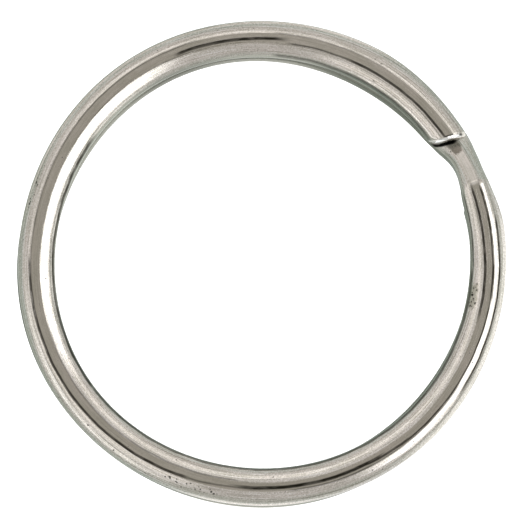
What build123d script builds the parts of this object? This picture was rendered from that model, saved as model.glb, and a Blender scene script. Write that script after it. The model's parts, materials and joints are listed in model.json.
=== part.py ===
from build123d import *
import math
import os

# Split key ring: one flattened steel wire coiled twice, with its two coils lying face to face.
#
# Frame, in millimetres: +Z runs along the ring's axis towards the front coil. The origin is the ring's
# centre, on the plane where the two coils meet. -Y points at the crossover, the short stretch where the
# wire passes from the front coil down to the back one. Turns are degrees counter-clockwise from there.
#
# The real wire is one piece that flexes all along its length. It is divided here into the stretches
# that stay still and the stretches that spring away from them when the ring is opened. Each coil
# divides at the side opposite the crossover, where prising its end twists the wire most.

# Ring
OUTER_DIAMETER = 32.0
WIRE_WIDTH = 2.35  # across the band, in the ring's plane
WIRE_HEIGHT = 1.42  # of one coil, along the ring's axis
COIL_GAP = 0.03  # between the two coils' pressed flats
MEAN_RADIUS = (OUTER_DIAMETER - WIRE_WIDTH) / 2
COIL_HEIGHT = (WIRE_HEIGHT + COIL_GAP) / 2  # from the ring's middle plane to a coil's centreline

# Section of the wire
FLAT_WIDTH = 0.56  # of the flat that rolling leaves along the middle of the band
FLANK_HEIGHT = 0.24  # of the straight side wall
SIDE_RADIUS = 0.45  # of the small round that joins the flank to the crown
SHOULDER_WIDTH = (WIRE_WIDTH - FLAT_WIDTH) / 2
SHOULDER_HEIGHT = (WIRE_HEIGHT - FLANK_HEIGHT) / 2
# The crown leaves the flat without a step and meets the side round without a corner.
CROWN_RADIUS = (
    (SHOULDER_WIDTH - SIDE_RADIUS) ** 2 + SHOULDER_HEIGHT**2 - SIDE_RADIUS**2
) / (2 * (SHOULDER_HEIGHT - SIDE_RADIUS))
CROWN_ANGLE = math.degrees(
    math.asin((SHOULDER_WIDTH - SIDE_RADIUS) / (CROWN_RADIUS - SIDE_RADIUS))
)

# Crossover
CROSSOVER_TURN = 7.0  # from the crossover's middle to either end
NECK_WIDTH = 1.9  # of the band at the crossover's middle
BEND_SHARE = 0.2  # of each half of the crossover, spent bending into or out of its slope
CROSSOVER_STEPS = 12

# Free ends
TIP_TURN = 6.8  # from the crossover's middle to the very end of either coil
NOSE_RADIUS = 1.4  # of the rounded end, seen along the ring's axis

# Stretches of each coil, which flexes at the side opposite the crossover
HINGE_TURN = 180.0
FIXED_ARC = HINGE_TURN - CROSSOVER_TURN
FREE_ARC = HINGE_TURN - TIP_TURN

os.makedirs("parts", exist_ok=True)


def outward(turn):
    """The unit vector from the ring's axis at that turn."""
    angle = math.radians(turn - 90)
    return Vector(math.cos(angle), math.sin(angle), 0)


def across_wire(turn, height, slope=0.0):
    """The plane across the wire at that turn: x outwards, y up, square to the wire where it falls."""
    x_dir = outward(turn)
    up = Vector(0, 0, 1)
    fall = math.radians(slope)
    backwards = x_dir.cross(up) * math.cos(fall) + up * math.sin(fall)
    return Plane(origin=x_dir * MEAN_RADIUS + up * height, x_dir=x_dir, z_dir=backwards)


def wire_section(plane, width=WIRE_WIDTH):
    """The wire's section on that plane, with its middle at the plane's origin."""
    flat_end = (width - 2 * SHOULDER_WIDTH) / 2
    with BuildSketch(plane) as section:
        with BuildLine():
            flat = Line((0, WIRE_HEIGHT / 2), (flat_end, WIRE_HEIGHT / 2))
            crown = JernArc(flat @ 1, flat % 1, CROWN_RADIUS, -CROWN_ANGLE)
            side = JernArc(crown @ 1, crown % 1, SIDE_RADIUS, CROWN_ANGLE - 90)
            Line(side @ 1, (width / 2, 0))
            mirror(about=Plane.XZ)
            mirror(about=Plane.YZ)
        make_face()
    return section.sketch


def ramp(share):
    """Height and slope in degrees at a share of -1 to 1 along the crossover.

    The slope grows evenly over the bend at the top, stays the same, and fades over the bend at the foot.
    """
    steepness = 1 / (1 - BEND_SHARE / 2)
    half_length = math.radians(CROSSOVER_TURN) * MEAN_RADIUS
    left = 1 - abs(share)
    if left < BEND_SHARE:
        fallen = 1 - steepness * left**2 / (2 * BEND_SHARE)
        gradient = steepness * left / BEND_SHARE
    else:
        fallen = steepness * abs(share)
        gradient = steepness
    height = -math.copysign(COIL_HEIGHT * fallen, share)
    return height, math.degrees(math.atan(gradient * COIL_HEIGHT / half_length))


def neck(share):
    """The band's width at a share of -1 to 1 along the crossover."""
    return WIRE_WIDTH - (WIRE_WIDTH - NECK_WIDTH) * (1 - share**2) ** 2


def tip_waste(turn, normal):
    """What rounding takes off a coil's end at that turn. Seen against normal, the wire runs on from the
    end anticlockwise."""
    x_dir = outward(turn)
    with BuildSketch(Plane(origin=x_dir * MEAN_RADIUS, x_dir=x_dir, z_dir=normal)) as waste:
        Rectangle(2 * WIRE_WIDTH, NOSE_RADIUS, align=(Align.CENTER, Align.MIN))
        with Locations((0, NOSE_RADIUS)):
            Circle(NOSE_RADIUS, mode=Mode.SUBTRACT)
    return waste.sketch


# Crossover, from the foot of the front coil to the head of the back coil

sections = []
for i in range(CROSSOVER_STEPS + 1):
    share = 2 * i / CROSSOVER_STEPS - 1
    height, slope = ramp(share)
    plane = across_wire(share * CROSSOVER_TURN, height, slope)
    sections.append(wire_section(plane, neck(share)))

with BuildPart() as crossover:
    loft(sections, ruled=True)
crossover.part.label = "crossover"

# Front coil: the fixed half runs on into the crossover, and the free half ends in the front tip

with BuildPart() as front_coil_fixed_half:
    revolve(wire_section(across_wire(HINGE_TURN, COIL_HEIGHT)), Axis.Z, FIXED_ARC)
front_coil_fixed_half.part.label = "front_coil_fixed_half"

with BuildPart() as front_coil_free_half:
    revolve(wire_section(across_wire(TIP_TURN, COIL_HEIGHT)), Axis.Z, FREE_ARC)
    extrude(tip_waste(TIP_TURN, (0, 0, 1)), 2 * WIRE_HEIGHT, both=True, mode=Mode.SUBTRACT)
front_coil_free_half.part.label = "front_coil_free_half"

# Back coil: the same stretches, half a turn round the radial axis through the crossover's middle

with BuildPart() as back_coil_fixed_half:
    revolve(wire_section(across_wire(CROSSOVER_TURN, -COIL_HEIGHT)), Axis.Z, FIXED_ARC)
back_coil_fixed_half.part.label = "back_coil_fixed_half"

with BuildPart() as back_coil_free_half:
    revolve(wire_section(across_wire(HINGE_TURN, -COIL_HEIGHT)), Axis.Z, FREE_ARC)
    extrude(tip_waste(-TIP_TURN, (0, 0, -1)), 2 * WIRE_HEIGHT, both=True, mode=Mode.SUBTRACT)
back_coil_free_half.part.label = "back_coil_free_half"

export_step(crossover.part, "parts/crossover.step")
export_step(front_coil_fixed_half.part, "parts/front_coil_fixed_half.step")
export_step(front_coil_free_half.part, "parts/front_coil_free_half.step")
export_step(back_coil_fixed_half.part, "parts/back_coil_fixed_half.step")
export_step(back_coil_free_half.part, "parts/back_coil_free_half.step")
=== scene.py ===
import json
import math

import bpy
import numpy as np
from mathutils import Matrix, Vector


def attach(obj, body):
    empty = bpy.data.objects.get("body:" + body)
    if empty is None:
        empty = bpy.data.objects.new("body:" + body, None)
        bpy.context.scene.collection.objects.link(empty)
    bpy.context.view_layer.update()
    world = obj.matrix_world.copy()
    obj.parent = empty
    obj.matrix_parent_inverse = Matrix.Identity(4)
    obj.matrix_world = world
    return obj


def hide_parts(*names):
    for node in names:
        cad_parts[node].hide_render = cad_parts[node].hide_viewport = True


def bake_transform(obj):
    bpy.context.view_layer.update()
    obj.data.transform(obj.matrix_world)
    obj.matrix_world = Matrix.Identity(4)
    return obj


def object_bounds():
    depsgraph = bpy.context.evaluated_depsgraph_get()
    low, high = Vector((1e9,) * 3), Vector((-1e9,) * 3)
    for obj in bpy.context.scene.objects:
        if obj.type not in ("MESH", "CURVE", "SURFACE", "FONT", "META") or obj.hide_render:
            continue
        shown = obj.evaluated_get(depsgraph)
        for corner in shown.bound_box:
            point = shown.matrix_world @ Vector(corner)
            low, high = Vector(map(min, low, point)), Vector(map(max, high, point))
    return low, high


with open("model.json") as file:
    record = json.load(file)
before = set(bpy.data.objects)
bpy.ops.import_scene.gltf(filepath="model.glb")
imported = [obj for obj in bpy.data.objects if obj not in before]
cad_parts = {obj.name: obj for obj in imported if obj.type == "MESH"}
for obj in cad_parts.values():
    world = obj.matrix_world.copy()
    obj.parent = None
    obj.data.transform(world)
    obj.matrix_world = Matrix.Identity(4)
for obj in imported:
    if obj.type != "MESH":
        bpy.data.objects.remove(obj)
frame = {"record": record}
CAD_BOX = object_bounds()

# A split key ring of flattened, nickel-plated wire. The wire is one long ribbon here too: a single
# formula gives its surface at every turn, from the front tip round both coils to the back tip, and
# the pieces are stretches of it.
#
# Lengths are in metres. A turn is in degrees along the wire, anticlockwise seen from +Z and 0 at -Y:
# the front coil runs from its tip to the crossover at a full turn, and the back coil from there to
# its own tip. Across is outwards on the band from the middle of its flat, and up is along +Z from
# the middle of the wire.

MM = 0.001

# Ring, from the frame
MOUNTS = {mount["name"]: mount for mount in frame["record"]["mounts"]}
OUTER_RADIUS = CAD_BOX[1].x
BORE_RADIUS = MOUNTS["ring_bore"]["dims"]["r_mm"] * MM
MEAN_RADIUS = (OUTER_RADIUS + BORE_RADIUS) / 2
HALF_WIDTH = (OUTER_RADIUS - BORE_RADIUS) / 2
COIL_TOP = CAD_BOX[1].z
COIL_GAP = 0.002 * MM
HALF_HEIGHT = (COIL_TOP - COIL_GAP / 2) / 2
COIL_HEIGHT = COIL_TOP - HALF_HEIGHT

# Section of the wire: a rolled flat, a crease, a gently curved bevel, and a round that turns under
# at the side
FLAT_HALF = 0.28 * MM
CREASE_RADIUS = 0.05 * MM
CREASE_ANGLE = math.radians(13)
BEVEL_ANGLE = math.radians(32)
BEVEL_END = 0.93 * MM
SECTION_STEPS = (4, 8, 12)

# Where the wire starts, crosses over and ends, in turns
FULL_TURN = 360
TIP_TURN = 5.65
BACK_TIP_TURN = 9.6
CROSSOVER_TURN = 7.0
CROSSOVER_MIDDLE = 359.2
CROSSOVER_START = CROSSOVER_MIDDLE - CROSSOVER_TURN
CROSSOVER_END = CROSSOVER_MIDDLE + CROSSOVER_TURN
WIRE_START = TIP_TURN
WIRE_END = 2 * FULL_TURN - BACK_TIP_TURN

# Crossover, where pressing the offset has squeezed the band and moved its flat inwards. Each set of
# turns says where that starts, peaks and ends
BEND_SHARE = 0.025
NECK_OUTER_INSET = 0.32 * MM
NECK_OUTER_TURNS = (341, 354, 366)
NECK_INNER_INSET = 0.385 * MM
NECK_INNER_TURNS = (348, 359.5, 371)
NECK_SHIFT = 0.17 * MM
NECK_SHIFT_TURNS = (320, 350, 375)
FOOT_BULGE = 0.15 * MM
FOOT_BULGE_TURNS = (360, 368, 384)

# Tips: cut across with a slight slant, their corners rounded and their edge bevelled
TIP_INNER_CORNER = 0.9 * MM
TIP_OUTER_CORNER = 0.4 * MM
TIP_FLAT_CORNER = 0.12 * MM
TIP_BEVEL = 0.18 * MM
TIP_BEVEL_ANGLES = (math.radians(15), math.radians(29))
TIP_EDGE = 0.05 * MM
TIP_RIM = TIP_BEVEL + TIP_EDGE
TIP_SLANT = 0.35
TIP_SLANT_LENGTH = 1.2 * MM
TIP_TAPER = 0.27 * MM
TIP_TAPER_TURN = 30
FRONT_TIP_BEND = 0.26 * MM
FRONT_TIP_BEND_TURN = 90

# Marks by the tips: painted shade on the cut end and at the bevel's foot, a nick in the front tip, and
# the painted shade that a tip throws on the strand beside it, which is narrower beyond SHADE_END
CUT_SHADE = 0.25
TIP_FOOT = 0.045 * MM
NICK_PLACE = 0.84 * MM
NICK_SIZE = 0.09 * MM
TIP_SHADE = 0.2 * MM
SHADE_END = 0.35 * MM
SHADE_TAPER = 0.6
SHADE_REACH = 0.35 * MM
SHADE_SOFT = 0.3 * MM

# How each coil strays from a true circle: number of lobes, size and the turn of the first lobe
SHRINK = 0.28 * MM
FRONT_DRIFT = ((2, 0.063 * MM, 12), (4, 0.056 * MM, 8))
BACK_DRIFT = (
    (0, 0.08 * MM, 0),
    (1, 0.1 * MM, 218),
    (2, 0.091 * MM, 345),
    (3, 0.048 * MM, 334),
    (4, 0.085 * MM, 345),
)

# Steps along the wire, in turns, with finer ones round the crossover. The marks at either end of the
# crossover are shares of its bend. The last two count the steps in each tip's slanted stretch, and in
# the bevel and the edge of its end
COIL_STEP = 1.0
FINE_STEP = 0.25
FINE_TURNS = (340, 380)
BEND_MARKS = np.array([-0.5, 0, 0.5, 1, 1.5])
TIP_STEPS = 32
TIP_BEVEL_STEPS = 8

# Tints of the metal, as red, green and blue, some of them painted shade or a painted highlight
NICKEL_GREY = (0.62, 0.59, 0.535)
NICKEL_ROSE = (0.69, 0.645, 0.60)
DULL_LINE = (0.42, 0.40, 0.35)
BRIGHT_LINE = (0.80, 0.775, 0.74)
BRIGHT_GRAIN = (0.95, 0.92, 0.88)
INSIDE_WALL_SHADE = (0.31, 0.315, 0.27)
BETWEEN_COILS_SHADE = (0.31, 0.31, 0.27)
RUST = (0.18, 0.19, 0.10)
SUNKEN_SHADE_AND_DIRT = (0.03, 0.028, 0.02)
TIP_EDGE_HIGHLIGHT = (0.97, 0.96, 0.95)
SHADE_AND_NICK_BLACK = (0.005, 0.005, 0.004)
BUMP_HEIGHT = 0.002 * MM

# Textures of the metal: how often each one repeats in a millimetre along the wire and across it, how
# many finer copies it has and how strong they are
STREAKS = ((0.22, 16), 3, 0.6)
FINE_LINES = ((1.5, 30), 2, 0.5)
GRAIN = ((9, 12), 2, 0.7)
CLOUDS = ((0.6, 2.0), 3, 0.6)
SPECKS = ((5, 7), 2, 0.5)
RAGGED = ((1.5, 3), 3, 0.7)
WANDER = ((0.5, 0.0), 2, 0.5)
PATCHY = ((1.3, 9), 2, 0.5)

# Where the ring's inner wall begins across the band, in millimetres, and the turns over which each
# coil goes under cover of the other one. Painted shade darkens both the wall and the covered faces
INSIDE_EDGE = (-1.02, -1.14)
FRONT_COVERED = (352, 346)
BACK_COVERED = (368, 374)

# Rolling seams: grooves along the front of the wire, darkened with painted shade. Start and end turn,
# place across the band at each of them and half width, in millimetres, and depth from 0 to 1. The
# shade in a seam is darkest over its core, a share of its width, and fades out over some turns at its
# start and its end
SEAM_CORE = 0.35
SEAM_START_FADE = 3
SEAM_END_FADE = 1.5
SEAM_WANDER = 0.12
SEAMS = (
    (6, 40, -0.29, -0.31, 0.12, 0.95),
    (36, 56, -0.31, -0.31, 0.09, 0.7),
    (58, 86, -0.07, -0.16, 0.15, 1.0),
    (30, 60, 0.30, 0.30, 0.07, 0.5),
    (80, 160, 0.27, 0.30, 0.08, 0.55),
    (80, 152, -0.33, -0.33, 0.07, 0.45),
    (118, 190, -1.07, -1.08, 0.10, 0.95),
    (10, 60, -1.05, -1.08, 0.09, 0.6),
    (153, 224, 0.35, 0.16, 0.12, 0.95),
    (222, 240, 0.16, 0.07, 0.08, 0.6),
    (170, 236, -0.30, -0.36, 0.08, 0.5),
    (236, 274, 0.05, 0.01, 0.15, 1.0),
    (250, 300, 0.26, 0.28, 0.08, 0.6),
    (268, 282, 0.05, 0.12, 0.11, 0.85),
    (279, 326, 0.14, 0.27, 0.08, 0.9),
    (322, 352, 0.27, 0.28, 0.12, 1.0),
    (190, 330, -1.08, -1.06, 0.09, 0.75),
    (299, 343, 0.62, 0.70, 0.10, 1.0),
    (318, 352, -0.26, -0.27, 0.13, 0.95),
    (330, 351, -1.00, -0.97, 0.08, 0.7),
)

# Clusters of pits: middle turn and half length in turns, middle and half width across the band in
# millimetres, and how rusty it is from 0 to 1. Holes are dots of two sizes: spacing in millimetres
# and size as a share of it
LARGE_HOLES = (0.36, 0.30)
SMALL_HOLES = (0.20, 0.30)
PITTED = (
    (135.5, 6, 0.82, 0.16, 0.1),
    (225.5, 8, 0.62, 0.24, 0.0),
    (323.2, 4, -0.85, 0.25, 0.45),
)

# Light from each part of the room that the metal mirrors, with the angles from straight up over which
# one part passes into the next, and light on the floor
CEILING = (0.42, 0.405, 0.365)
CEILING_EDGE = (16, 27)
WALLS = (0.76, 0.745, 0.735)
WALLS_EDGE = (78, 88)
LOW_WALLS = (0.56, 0.62, 0.59)
FLOOR_LIGHT = (2.2, 2.2, 2.2)

# Patches of light and shade in the room, each over the ones before it. Middle, half width and soft
# edge in azimuth, then range and soft edge in angle from straight up, then the light. Azimuths are
# counted from the picture's right
PATCHES = (
    (277, 22, 8, 20, 66, 5, (0.62, 0.605, 0.59)),
    (75, 60, 8, 38, 49, 3, (1.22, 1.19, 1.15)),
    (190, 60, 8, 31, 42, 3, (1.12, 1.09, 1.05)),
    (122, 90, 6, 54, 58, 2, (0.6, 0.57, 0.53)),
    (122, 77, 12, 66, 200, 5, (0.54, 0.60, 0.57)),
    (170, 55, 20, 76, 200, 8, (0.50, 0.55, 0.51)),
    (108, 50, 12, 76, 100, 6, (0.85, 0.83, 0.80)),
    (78, 16, 8, 92, 116, 5, (1.05, 1.05, 1.03)),
    (350, 42, 10, 20, 51, 3, (2.5, 2.5, 2.5)),
    (300, 95, 15, 57, 76, 4, (0.52, 0.54, 0.51)),
    (335, 50, 12, 86, 200, 6, (0.86, 0.88, 0.88)),
    (345, 32, 10, 67, 200, 4, (1.3, 1.32, 1.3)),
    (270, 18, 12, 96, 200, 6, (1.3, 1.3, 1.3)),
    (213, 30, 10, 52, 60, 3, (1.6, 1.6, 1.58)),
)

# Floor, low enough for the back coil to open above it
FLOOR_HALF = 500 * MM
FLOOR_DROP = 4.5 * MM
FLOOR_COLOR = (0.9, 0.9, 0.9)
FLOOR_ROUGHNESS = 0.9

# Camera. The picture's right is at azimuth -CAMERA_ROLL in the ring's frame
CAMERA_DISTANCE = 100 * MM
CAMERA_TILT = math.radians(6.5)
CAMERA_AZIMUTH = math.radians(139)
CAMERA_ROLL = 117
CAMERA_LENS = 105.8
CAMERA_SENSOR = 36
CAMERA_CLIP = (5 * MM, 10000 * MM)
CAMERA_DROP = 0.167 * MM


# Shape of the wire


def smooth(value):
    """0 to 1, with no slope at either end."""
    held = np.clip(value, 0, 1)
    return held * held * (3 - 2 * held)


def bulge(turns, start, peak, end):
    """0 at the start turn, 1 at the peak and 0 again at the end."""
    rise = (turns - start) / (peak - start)
    fall = (end - turns) / (end - peak)
    return smooth(np.where(turns < peak, rise, fall))


def arc(start, end, start_angle, end_angle, steps):
    """Points from start to end on the arc whose normal leans from start_angle to end_angle."""
    radius = (end - start) / (math.sin(end_angle) - math.sin(start_angle))
    angles = np.linspace(start_angle, end_angle, steps + 1)
    across = start + radius * (np.sin(angles) - math.sin(start_angle))
    fall = radius * (math.cos(start_angle) - np.cos(angles))
    return across, fall


def quarter_section():
    """Across and up, from the middle of the flat to the middle of the side."""
    crease_start = FLAT_HALF - CREASE_RADIUS * math.sin(CREASE_ANGLE)
    edges = (crease_start, FLAT_HALF, BEVEL_END, HALF_WIDTH)
    angles = (0, CREASE_ANGLE, BEVEL_ANGLE, math.pi / 2)
    across = [np.array([0, FLAT_HALF / 2])]
    up = [np.array([HALF_HEIGHT, HALF_HEIGHT])]
    height = HALF_HEIGHT
    for i, steps in enumerate(SECTION_STEPS):
        run, fall = arc(edges[i], edges[i + 1], angles[i], angles[i + 1], steps)
        across.append(run[:-1])
        up.append(height - fall[:-1])
        height -= fall[-1]
    across.append(np.array([HALF_WIDTH]))
    up.append(np.array([height]))
    stretch = HALF_HEIGHT / (HALF_HEIGHT - height)
    return np.concatenate(across), (np.concatenate(up) - height) * stretch


def whole_section():
    """The closed section, from the outer side over the front to the inner side and back behind."""
    across, up = quarter_section()
    front = np.concatenate([across[::-1], -across[1:]])
    front_up = np.concatenate([up[::-1], up[1:]])
    across = np.concatenate([front, -front[1:-1]])
    up = np.concatenate([front_up, -front_up[1:-1]])
    return across, up


ACROSS, UP = whole_section()


def ramp(turns):
    """Height of the wire's middle and the slope of its path, down from the front coil to the back."""
    share = np.clip((turns - CROSSOVER_MIDDLE) / CROSSOVER_TURN, -1, 1)
    steepness = 1 / (1 - BEND_SHARE / 2)
    left = 1 - np.abs(share)
    bent = 1 - steepness * left**2 / (2 * BEND_SHARE)
    fallen = np.where(left < BEND_SHARE, bent, steepness * np.abs(share))
    height = -np.sign(share) * fallen * COIL_HEIGHT
    gradient = steepness * np.minimum(left / BEND_SHARE, 1)
    half_length = math.radians(CROSSOVER_TURN) * MEAN_RADIUS
    return height, np.arctan(gradient * COIL_HEIGHT / half_length)


def lobes(turns, drifts):
    """The sum of a coil's drifts."""
    return sum(size * np.cos(np.radians(count * (turns - first))) for count, size, first in drifts)


def drift(turns):
    """How far the wire strays outwards from a true circle."""
    passed = smooth((turns - CROSSOVER_START) / (CROSSOVER_END - CROSSOVER_START))
    front = lobes(turns, FRONT_DRIFT)
    back = lobes(turns, BACK_DRIFT)
    return front + (back - front) * passed - SHRINK


def from_tip(turns):
    """Distance along the wire from the nearer tip."""
    return np.radians(np.minimum(turns - WIRE_START, WIRE_END - turns)) * MEAN_RADIUS


def rounded(distance, corner):
    """What a corner of that radius takes off the side, at a distance from the end."""
    missing = np.clip(corner - distance, 0, corner)
    return corner - np.sqrt(corner**2 - missing**2)


def squeezed(width):
    """How far across a shoulder of that width each point lies.

    The side gives way before the bevel, and the higher the power, the more so. The power stays below
    the inverse of the loss, so that no point passes the next one.
    """
    full = HALF_WIDTH - FLAT_HALF
    share = np.clip(np.abs(ACROSS) - FLAT_HALF, 0, None) / full
    loss = 1 - width / full
    power = np.clip(0.9 / np.maximum(loss, 0.01), 1, 3)
    return full * (share - loss * share**power)


def tip_profile():
    """Distance from the tip against the height that its bevelled edge has lost."""
    bevel, bevel_fall = arc(0, TIP_BEVEL, *TIP_BEVEL_ANGLES, TIP_BEVEL_STEPS)
    edge, edge_fall = arc(TIP_BEVEL, TIP_RIM, TIP_BEVEL_ANGLES[1], math.pi / 2, TIP_BEVEL_STEPS)
    run = np.concatenate([bevel, edge[1:]])
    fall = np.concatenate([bevel_fall, bevel_fall[-1] + edge_fall[1:]])
    return (TIP_RIM - run)[::-1], fall[::-1]


TIP_DISTANCE, TIP_FALL = tip_profile()


def band_edges(turns, distance):
    """The band's reach outwards and inwards from the middle of its flat, and the flat's own move
    inwards."""
    taper = TIP_TAPER * (1 - smooth(distance / (math.radians(TIP_TAPER_TURN) * MEAN_RADIUS)))
    neck = NECK_OUTER_INSET * bulge(turns, *NECK_OUTER_TURNS)
    foot = FOOT_BULGE * bulge(turns, *FOOT_BULGE_TURNS)
    shift = NECK_SHIFT * bulge(turns, *NECK_SHIFT_TURNS)
    bend = FRONT_TIP_BEND * (1 - smooth((turns - WIRE_START) / FRONT_TIP_BEND_TURN)) + shift
    outer = HALF_WIDTH + bend - taper - neck + foot - rounded(distance, TIP_OUTER_CORNER)
    inner = HALF_WIDTH - shift - NECK_INNER_INSET * bulge(turns, *NECK_INNER_TURNS)
    return outer, inner - rounded(distance, TIP_INNER_CORNER), bend


def wire_points(turns):
    """The wire's surface: one row of points round the section for each turn."""
    turns = turns[:, None]
    distance = from_tip(turns)
    outer, inner, bend = band_edges(turns, distance)
    reach = np.where(ACROSS > 0, outer, inner)
    flat = FLAT_HALF - rounded(distance - TIP_RIM, TIP_FLAT_CORNER)
    on_flat = np.minimum(np.abs(ACROSS), FLAT_HALF) * flat / FLAT_HALF
    across = np.sign(ACROSS) * (on_flat + squeezed(reach - flat))
    lost = np.interp(distance, TIP_DISTANCE, TIP_FALL, right=0)
    up = UP * (1 - lost / HALF_HEIGHT)
    height, slope = ramp(turns)
    way = np.where(turns < FULL_TURN, -1, 1)
    slant = way * TIP_SLANT * across * (1 - smooth(distance / TIP_SLANT_LENGTH))
    angle = np.radians(turns - 90) + slant / MEAN_RADIUS
    radius = MEAN_RADIUS + drift(turns) - bend + across
    forward = up * np.sin(slope)
    x = radius * np.cos(angle) - forward * np.sin(angle)
    y = radius * np.sin(angle) + forward * np.cos(angle)
    z = height + up * np.cos(slope)
    return np.stack([x, y, z], axis=-1)


# Painted shade, a painted highlight and a nick by the tips


def tip_outline(across):
    """How far each part of a tip's end stands back from the middle of the end, along the wire."""
    corner = np.where(across > 0, TIP_OUTER_CORNER, TIP_INNER_CORNER)
    over = np.clip(np.abs(across) - HALF_WIDTH + corner, 0, corner)
    return corner - np.sqrt(corner**2 - over**2) - TIP_SLANT * across


def tip_shade(turns):
    """0 to 1: the corner between a tip and the strand that slopes past it."""
    front = (turns > FULL_TURN)[:, None]
    tip_turn = np.where(front, TIP_TURN, BACK_TIP_TURN)
    past = np.radians(np.abs(turns - FULL_TURN)[:, None] - tip_turn) * MEAN_RADIUS
    lean = np.abs(UP) * np.sin(ramp(turns)[1])[:, None]
    across = ACROSS + FRONT_TIP_BEND * front
    narrower = SHADE_TAPER * np.clip(across - SHADE_END, 0, None)
    gap = tip_outline(across) + narrower - past - lean
    shade = 1 - smooth((gap - 0.5 * TIP_SHADE) / (0.5 * TIP_SHADE))
    reach = smooth((gap + SHADE_REACH) / SHADE_SOFT)
    faces_tip = UP * np.sign(turns - FULL_TURN)[:, None] > 0
    off_the_sides = smooth(2.5 * np.abs(UP) / HALF_HEIGHT - 0.4)
    return shade * reach * faces_tip * off_the_sides


def shade_and_nick(turns):
    """0 to 1: painted shade on the cut end, the foot of the bevel and what a tip shades, and a nick."""
    distance = from_tip(turns)[:, None]
    cut = 1 - smooth((distance - 0.2 * TIP_EDGE) / (0.5 * TIP_EDGE))
    foot = np.exp(-(((distance - TIP_RIM - TIP_FOOT) / TIP_FOOT) ** 2))
    foot = foot * (np.abs(ACROSS) <= FLAT_HALF)
    off_nick = np.hypot(ACROSS - NICK_PLACE, distance - TIP_BEVEL) / NICK_SIZE
    nick = np.exp(-(off_nick**2)) * (UP > 0) * (turns < FULL_TURN)[:, None]
    own = np.maximum(np.maximum(CUT_SHADE * cut, foot), nick)
    return np.maximum(own, tip_shade(turns))


def edge_highlight(turns):
    """1 on the bevelled edge round a tip, which takes a painted highlight, and 0 elsewhere."""
    distance = from_tip(turns)[:, None]
    bevelled = smooth((TIP_RIM - distance) / TIP_EDGE) * smooth(distance / TIP_EDGE)
    return bevelled * smooth((NICK_PLACE - ACROSS) / NICK_SIZE)


# Meshes


def turns_between(start, end):
    """Turns along a stretch, closer together where the wire bends or ends."""
    marks = [start, end]
    marks += list(np.arange(math.ceil(start), end, COIL_STEP))
    marks += list(np.arange(max(start, FINE_TURNS[0]), min(end, FINE_TURNS[1]), FINE_STEP))
    bend = BEND_SHARE * CROSSOVER_TURN
    marks += list(CROSSOVER_START + bend * BEND_MARKS)
    marks += list(CROSSOVER_END - bend * BEND_MARKS)
    slanted = np.linspace(TIP_DISTANCE[-1], TIP_SLANT_LENGTH, TIP_STEPS)
    along = np.degrees(np.concatenate([TIP_DISTANCE, slanted[1:]]) / MEAN_RADIUS)
    marks += list(WIRE_START + along)
    marks += list(WIRE_END - along)
    return np.unique(np.round([mark for mark in marks if start <= mark <= end], 5))


def surface_normals(turns, points):
    """Unit normals of a grid of points that closes round the section."""
    along = np.gradient(points, turns, axis=0)
    wrapped = np.concatenate([points[:, -1:], points, points[:, :1]], axis=1)
    steps = np.linalg.norm(np.diff(wrapped, axis=1), axis=-1, keepdims=True)
    before = steps[:, :-1]
    after = steps[:, 1:]
    back = (wrapped[:, 1:-1] - wrapped[:, :-2]) / before
    ahead = (wrapped[:, 2:] - wrapped[:, 1:-1]) / after
    around = (back * after + ahead * before) / (before + after)
    normals = np.cross(around, along)
    return normals / np.linalg.norm(normals, axis=-1, keepdims=True)


def points_and_normals(turns):
    """The surface at those turns. Its normals run on into the next stretch where the wire does."""
    longer = turns
    if turns[0] > WIRE_START:
        longer = np.concatenate([[2 * turns[0] - turns[1]], longer])
    if turns[-1] < WIRE_END:
        longer = np.concatenate([longer, [2 * turns[-1] - turns[-2]]])
    points = wire_points(longer)
    normals = surface_normals(longer, points)
    keep = np.isin(longer, turns)
    return points[keep], normals[keep]


def ribbon_faces(rows, columns):
    """Quads between rows of points that each close round the section."""
    faces = []
    for row in range(rows - 1):
        here = row * columns
        there = here + columns
        for column in range(columns):
            beside = (column + 1) % columns
            faces.append((here + column, here + beside, there + beside, there + column))
    return faces


def store_marks(mesh, turns):
    """Stores where each point lies on the wire, its painted shade and nick, and its painted highlight.
    """
    along = np.radians(turns)[:, None] * MEAN_RADIUS
    place = np.stack(np.broadcast_arrays(along, ACROSS, UP), axis=-1)
    layer = mesh.attributes.new("wire_place", "FLOAT_VECTOR", "POINT")
    layer.data.foreach_set("vector", place.ravel().astype(np.float32))
    for name, found in (("shade_and_nick", shade_and_nick(turns)), ("edge_highlight", edge_highlight(turns))):
        layer = mesh.attributes.new(name, "FLOAT", "POINT")
        layer.data.foreach_set("value", found.ravel().astype(np.float32))


def wire_stretch(name, start, end, material):
    """The piece of wire from one turn to another, capped where the wire ends."""
    turns = turns_between(start, end)
    points, normals = points_and_normals(turns)
    rows, columns = points.shape[:2]
    faces = ribbon_faces(rows, columns)
    if start == WIRE_START:
        faces.append(tuple(range(columns - 1, -1, -1)))
    if end == WIRE_END:
        faces.append(tuple(range((rows - 1) * columns, rows * columns)))
    mesh = bpy.data.meshes.new(name)
    mesh.from_pydata(points.reshape(-1, 3).tolist(), [], faces)
    mesh.validate()
    store_marks(mesh, turns)
    mesh.shade_smooth()
    mesh.normals_split_custom_set_from_vertices(normals.reshape(-1, 3).tolist())
    mesh.materials.append(material)
    piece = bpy.data.objects.new(name, mesh)
    bpy.context.collection.objects.link(piece)
    return piece


# Node helpers


def linked(tree, socket, value):
    """Sets a socket to a number or colour, or links it to another node's output."""
    if isinstance(value, bpy.types.NodeSocket):
        tree.links.new(value, socket)
    elif isinstance(value, tuple) and len(value) == 3 and socket.type == "RGBA":
        socket.default_value = (*value, 1)
    else:
        socket.default_value = value


def compute(tree, operation, *values):
    node = tree.nodes.new("ShaderNodeMath")
    node.operation = operation
    for socket, value in zip(node.inputs, values):
        linked(tree, socket, value)
    return node.outputs[0]


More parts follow.
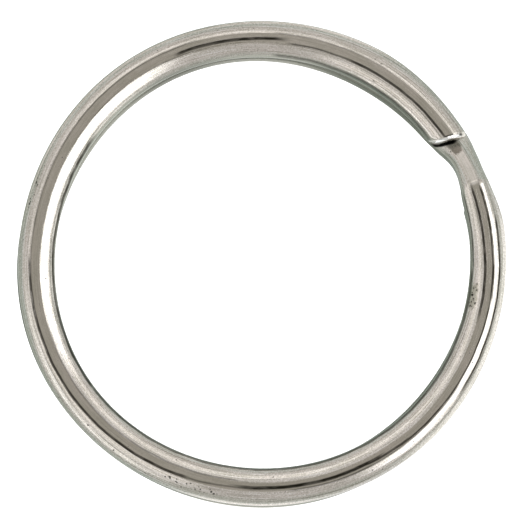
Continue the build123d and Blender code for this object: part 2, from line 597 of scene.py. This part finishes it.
def scaled(tree, vector, scale):
    """A vector with each of its parts multiplied by its own scale."""
    node = tree.nodes.new("ShaderNodeVectorMath")
    node.operation = "MULTIPLY"
    tree.links.new(vector, node.inputs[0])
    node.inputs[1].default_value = scale
    return node.outputs[0]


def parts_of(tree, vector):
    """The three parts of a vector."""
    node = tree.nodes.new("ShaderNodeSeparateXYZ")
    tree.links.new(vector, node.inputs[0])
    return node.outputs


def fade(tree, value, start, end):
    """0 at start and 1 at end, with no slope at either."""
    node = tree.nodes.new("ShaderNodeMapRange")
    node.interpolation_type = "SMOOTHSTEP"
    linked(tree, node.inputs["Value"], value)
    node.inputs["From Min"].default_value = start
    node.inputs["From Max"].default_value = end
    return node.outputs["Result"]


def blend_color(tree, share, under, over):
    node = tree.nodes.new("ShaderNodeMix")
    node.data_type = "RGBA"
    linked(tree, node.inputs[0], share)
    linked(tree, node.inputs[6], under)
    linked(tree, node.inputs[7], over)
    return node.outputs[2]


def noise(tree, place, scale, detail, roughness):
    """Noise over the wire, with its own scale along the wire and across it, per millimetre."""
    along, across = scale
    node = tree.nodes.new("ShaderNodeTexNoise")
    tree.links.new(scaled(tree, place, (along, across, across)), node.inputs["Vector"])
    node.inputs["Scale"].default_value = 1
    node.inputs["Detail"].default_value = detail
    node.inputs["Roughness"].default_value = roughness
    return node.outputs["Fac"]


def dots(tree, place, spacing, size):
    """Round dots scattered over the wire: their spacing in millimetres and size as a share of it."""
    node = tree.nodes.new("ShaderNodeTexVoronoi")
    tree.links.new(place, node.inputs["Vector"])
    node.inputs["Scale"].default_value = 1 / spacing
    return fade(tree, node.outputs["Distance"], size, 0.6 * size)


def marked(tree, name, output="Fac"):
    """A mark stored on the mesh."""
    node = tree.nodes.new("ShaderNodeAttribute")
    node.attribute_name = name
    return node.outputs[output]


# Material


def seam_mask(tree, turn, across):
    """1 in the middle of every rolling seam, and 0 away from them."""
    found = 0.0
    for start, end, first, last, half, depth in SEAMS:
        share = compute(tree, "DIVIDE", compute(tree, "SUBTRACT", turn, start), end - start)
        middle = compute(tree, "MULTIPLY_ADD", share, last - first, first)
        off = compute(tree, "ABSOLUTE", compute(tree, "SUBTRACT", across, middle))
        line = fade(tree, off, half, SEAM_CORE * half)
        begun = fade(tree, turn, start - SEAM_START_FADE, start + SEAM_START_FADE)
        going = fade(tree, turn, end + SEAM_END_FADE, end - SEAM_END_FADE)
        line = compute(tree, "MULTIPLY", line, compute(tree, "MULTIPLY", begun, going))
        found = compute(tree, "MAXIMUM", found, compute(tree, "MULTIPLY", line, depth))
    return found


def seams(tree, place, turn, across, front):
    """The rolling seams, which wander and fade a little along the way."""
    wander = compute(tree, "SUBTRACT", noise(tree, place, *WANDER), 0.5)
    strayed = compute(tree, "MULTIPLY_ADD", wander, SEAM_WANDER, across)
    seam = compute(tree, "MULTIPLY", seam_mask(tree, turn, strayed), front)
    patchy = fade(tree, noise(tree, place, *PATCHY), 0.62, 0.42)
    return compute(tree, "MULTIPLY", seam, compute(tree, "MULTIPLY_ADD", patchy, 0.2, 0.8))


def pitted(tree, place, turn, across):
    """0 to 1: inside a ragged cluster of pits, and how rusty it is there."""
    inside = 0.0
    rust = 0.0
    for middle, length, offset, width, rusty in PITTED:
        away = compute(tree, "DIVIDE", compute(tree, "SUBTRACT", turn, middle), length)
        aside = compute(tree, "DIVIDE", compute(tree, "SUBTRACT", across, offset), width)
        far = compute(tree, "MULTIPLY_ADD", away, away, compute(tree, "MULTIPLY", aside, aside))
        ragged = compute(tree, "MULTIPLY_ADD", noise(tree, place, *RAGGED), 3.0, far)
        here = fade(tree, ragged, 2.7, 2.0)
        inside = compute(tree, "MAXIMUM", inside, here)
        rust = compute(tree, "MAXIMUM", rust, compute(tree, "MULTIPLY", here, rusty))
    return inside, rust


def pits(tree, place, cluster, clouds):
    """Specks scattered here and there, and round holes inside the clusters."""
    speck = fade(tree, noise(tree, place, *SPECKS), 0.66, 0.72)
    specks = compute(tree, "MULTIPLY", speck, fade(tree, clouds, 0.52, 0.62))
    holes = compute(tree, "MAXIMUM", dots(tree, place, *LARGE_HOLES), dots(tree, place, *SMALL_HOLES))
    return compute(tree, "MAXIMUM", specks, compute(tree, "MULTIPLY", holes, cluster))


def lined_tint(tree, across, streaks, grain, clouds):
    """The plate's own tint with the drawn lines and the grain in it, fainter on the flat."""
    tint = blend_color(tree, fade(tree, clouds, 0.35, 0.65), NICKEL_GREY, NICKEL_ROSE)
    off_flat = fade(tree, compute(tree, "ABSOLUTE", across), 0.22, 0.34)
    line_depth = compute(tree, "MULTIPLY_ADD", off_flat, 0.7, 0.3)
    grain_depth = compute(tree, "MULTIPLY_ADD", off_flat, 0.3, 0.12)
    layers = (
        (streaks, 0.54, 0.64, line_depth, DULL_LINE),
        (streaks, 0.44, 0.36, line_depth, BRIGHT_LINE),
        (grain, 0.52, 0.64, grain_depth, DULL_LINE),
        (grain, 0.46, 0.35, grain_depth, BRIGHT_GRAIN),
    )
    for texture, start, end, depth, color in layers:
        share = compute(tree, "MULTIPLY", fade(tree, texture, start, end), depth)
        tint = blend_color(tree, share, tint, color)
    return tint


def between_coils(tree, turn, up):
    """1 on the faces with which the coils lie together, and 0 elsewhere."""
    back_top = compute(tree, "MULTIPLY", fade(tree, turn, *BACK_COVERED), fade(tree, up, 0.0, 0.15))
    front_back = compute(tree, "MULTIPLY", fade(tree, turn, *FRONT_COVERED), fade(tree, up, 0.0, -0.15))
    return compute(tree, "ADD", back_top, front_back)


def dullness(tree, turn, up, fine, inside):
    """Roughness, more inside the ring and in the corner between a tip and the strand beside it."""
    dull = compute(tree, "MULTIPLY_ADD", fade(tree, fine, 0.3, 0.7), 0.08, 0.06)
    dull = compute(tree, "MULTIPLY_ADD", inside, 0.15, dull)
    past = compute(tree, "SUBTRACT", turn, FULL_TURN)
    past = compute(tree, "MULTIPLY", past, compute(tree, "SIGN", up))
    corner = compute(tree, "MULTIPLY", fade(tree, past, 1, 4), fade(tree, past, 10, 7))
    return compute(tree, "MULTIPLY_ADD", corner, 0.25, dull)


def relief(tree, fine, streaks, grain, clouds, sunken):
    """The normal over fine lines, streaks, grain, slow waves and sunken marks."""
    height = compute(tree, "MULTIPLY", fine, 0.5)
    for texture, rise in ((streaks, 2.0), (grain, 1.0), (clouds, 4.0), (sunken, -2.0)):
        height = compute(tree, "MULTIPLY_ADD", texture, rise, height)
    bump = tree.nodes.new("ShaderNodeBump")
    bump.inputs["Strength"].default_value = 1.0
    bump.inputs["Distance"].default_value = BUMP_HEIGHT
    linked(tree, bump.inputs["Height"], height)
    return bump.outputs[0]


def nickel_plate():
    """Bright nickel over drawn and rolled steel: lines along it, seams from rolling, grain and pits."""
    material = bpy.data.materials.new("nickel_plated_wire")
    material.use_nodes = True
    tree = material.node_tree
    place = scaled(tree, marked(tree, "wire_place", "Vector"), (1 / MM, 1 / MM, 1 / MM))
    along, across, up = parts_of(tree, place)
    turn = compute(tree, "DEGREES", compute(tree, "DIVIDE", along, MEAN_RADIUS / MM))
    front = fade(tree, up, -0.1, 0.1)
    inside = fade(tree, across, *INSIDE_EDGE)
    streaks = noise(tree, place, *STREAKS)
    fine = noise(tree, place, *FINE_LINES)
    grain = noise(tree, place, *GRAIN)
    clouds = noise(tree, place, *CLOUDS)
    cluster, rust = pitted(tree, place, turn, across)
    cluster = compute(tree, "MULTIPLY", cluster, front)
    seam = seams(tree, place, turn, across, front)
    sunken = compute(tree, "MAXIMUM", seam, pits(tree, place, cluster, clouds))

    tint = lined_tint(tree, across, streaks, grain, clouds)
    # Painted shade: the ring's inner wall is darkened
    tint = blend_color(tree, inside, tint, INSIDE_WALL_SHADE)
    # Painted shade: the faces where the coils lie together are darkened
    tint = blend_color(tree, between_coils(tree, turn, up), tint, BETWEEN_COILS_SHADE)
    tint = blend_color(tree, compute(tree, "MULTIPLY", rust, front), tint, RUST)
    # Painted shade darkens the seams, and the pits are dark with dirt
    tint = blend_color(tree, sunken, tint, SUNKEN_SHADE_AND_DIRT)
    # Painted highlight on the bevelled edge round each tip
    tint = blend_color(tree, marked(tree, "edge_highlight"), tint, TIP_EDGE_HIGHLIGHT)
    # Painted shade on the cut ends, at the bevel's foot and beside each tip, and a dark nick in the
    # front tip
    tint = blend_color(tree, marked(tree, "shade_and_nick"), tint, SHADE_AND_NICK_BLACK)

    shader = tree.nodes["Principled BSDF"]
    shader.inputs["Metallic"].default_value = 1.0
    linked(tree, shader.inputs["Base Color"], tint)
    linked(tree, shader.inputs["Roughness"], dullness(tree, turn, up, fine, inside))
    linked(tree, shader.inputs["Normal"], relief(tree, fine, streaks, grain, clouds, sunken))
    return material


# Studio


def patch(tree, azimuth, zenith, under, middle, half, edge, low, high, soft, color):
    """A soft patch of light or shade over a range of azimuth and of angle from straight up."""
    turned = compute(tree, "ADD", azimuth, 180 - middle)
    wrapped = compute(tree, "FLOORED_MODULO", turned, 360)
    off = compute(tree, "ABSOLUTE", compute(tree, "SUBTRACT", wrapped, 180))
    side = fade(tree, off, half + edge, half - edge)
    above = fade(tree, zenith, low - soft, low + soft)
    below = fade(tree, zenith, high + soft, high - soft)
    mask = compute(tree, "MULTIPLY", side, compute(tree, "MULTIPLY", above, below))
    return blend_color(tree, mask, under, color)


def studio_world():
    """A soft pale room for the metal to mirror, and an even light for the floor."""
    world = bpy.data.worlds.new("studio")
    bpy.context.scene.world = world
    world.use_nodes = True
    tree = world.node_tree
    coords = tree.nodes.new("ShaderNodeTexCoord")
    x, y, z = parts_of(tree, coords.outputs["Generated"])
    zenith = compute(tree, "DEGREES", compute(tree, "ARCCOSINE", z))
    azimuth = compute(tree, "DEGREES", compute(tree, "ARCTAN2", y, x))
    light = blend_color(tree, fade(tree, zenith, *CEILING_EDGE), CEILING, WALLS)
    light = blend_color(tree, fade(tree, zenith, *WALLS_EDGE), light, LOW_WALLS)
    for middle, *extent, color in PATCHES:
        light = patch(tree, azimuth, zenith, light, middle - CAMERA_ROLL, *extent, color)
    path = tree.nodes.new("ShaderNodeLightPath")
    final = blend_color(tree, path.outputs["Is Glossy Ray"], FLOOR_LIGHT, light)
    tree.links.new(final, tree.nodes["Background"].inputs["Color"])


def studio_floor():
    """A pale table, kept out of the metal's reflections."""
    z = CAD_BOX[0].z - FLOOR_DROP
    corners = [(x * FLOOR_HALF, y * FLOOR_HALF, z) for x, y in ((-1, -1), (1, -1), (1, 1), (-1, 1))]
    mesh = bpy.data.meshes.new("floor")
    mesh.from_pydata(corners, [], [(0, 1, 2, 3)])
    floor = bpy.data.objects.new("floor", mesh)
    bpy.context.collection.objects.link(floor)
    floor.visible_glossy = False
    material = bpy.data.materials.new("pale_floor")
    material.use_nodes = True
    shader = material.node_tree.nodes["Principled BSDF"]
    shader.inputs["Base Color"].default_value = (*FLOOR_COLOR, 1)
    shader.inputs["Roughness"].default_value = FLOOR_ROUGHNESS
    shader.inputs["Specular IOR Level"].default_value = 0.0
    mesh.materials.append(material)


def studio_camera():
    """A camera above the ring, tilted towards CAMERA_AZIMUTH and aimed just below the middle."""
    camera = bpy.data.cameras.new("camera")
    camera.lens = CAMERA_LENS
    camera.sensor_width = CAMERA_SENSOR
    camera.clip_start, camera.clip_end = CAMERA_CLIP
    holder = bpy.data.objects.new("camera", camera)
    bpy.context.collection.objects.link(holder)
    back = Vector((
        math.sin(CAMERA_TILT) * math.cos(CAMERA_AZIMUTH),
        math.sin(CAMERA_TILT) * math.sin(CAMERA_AZIMUTH),
        math.cos(CAMERA_TILT),
    ))
    picture_up = math.radians(90 - CAMERA_ROLL)
    up = Vector((math.cos(picture_up), math.sin(picture_up), 0))
    right = up.cross(back).normalized()
    up = back.cross(right)
    turned = Matrix((right, up, back)).transposed().to_4x4()
    holder.matrix_world = Matrix.Translation(back * CAMERA_DISTANCE - up * CAMERA_DROP) @ turned
    bpy.context.scene.camera = holder


# Pieces: the tips and the crossover ride on one body each, and the stretches between them, on the
# side opposite the crossover, are baked in place

nickel = nickel_plate()
QUARTERS = [WIRE_START, 90, 270, 450, 630, WIRE_END]

front_tip = wire_stretch("wire_front_tip", *QUARTERS[0:2], nickel)
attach(front_tip, "front_leaf")
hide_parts("front_coil_free_half")

front_far = wire_stretch("wire_front_far_half", *QUARTERS[1:3], nickel)
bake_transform(front_far)
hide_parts("front_coil_free_half", "front_coil_fixed_half")

middle = wire_stretch("wire_crossover", *QUARTERS[2:4], nickel)
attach(middle, "root")
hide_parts("crossover", "front_coil_fixed_half", "back_coil_fixed_half")

back_far = wire_stretch("wire_back_far_half", *QUARTERS[3:5], nickel)
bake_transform(back_far)
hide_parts("back_coil_fixed_half", "back_coil_free_half")

back_tip = wire_stretch("wire_back_tip", *QUARTERS[4:6], nickel)
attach(back_tip, "back_leaf")
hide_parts("back_coil_free_half")

studio_world()
studio_floor()
studio_camera()
bpy.context.scene.view_settings.view_transform = "Standard"
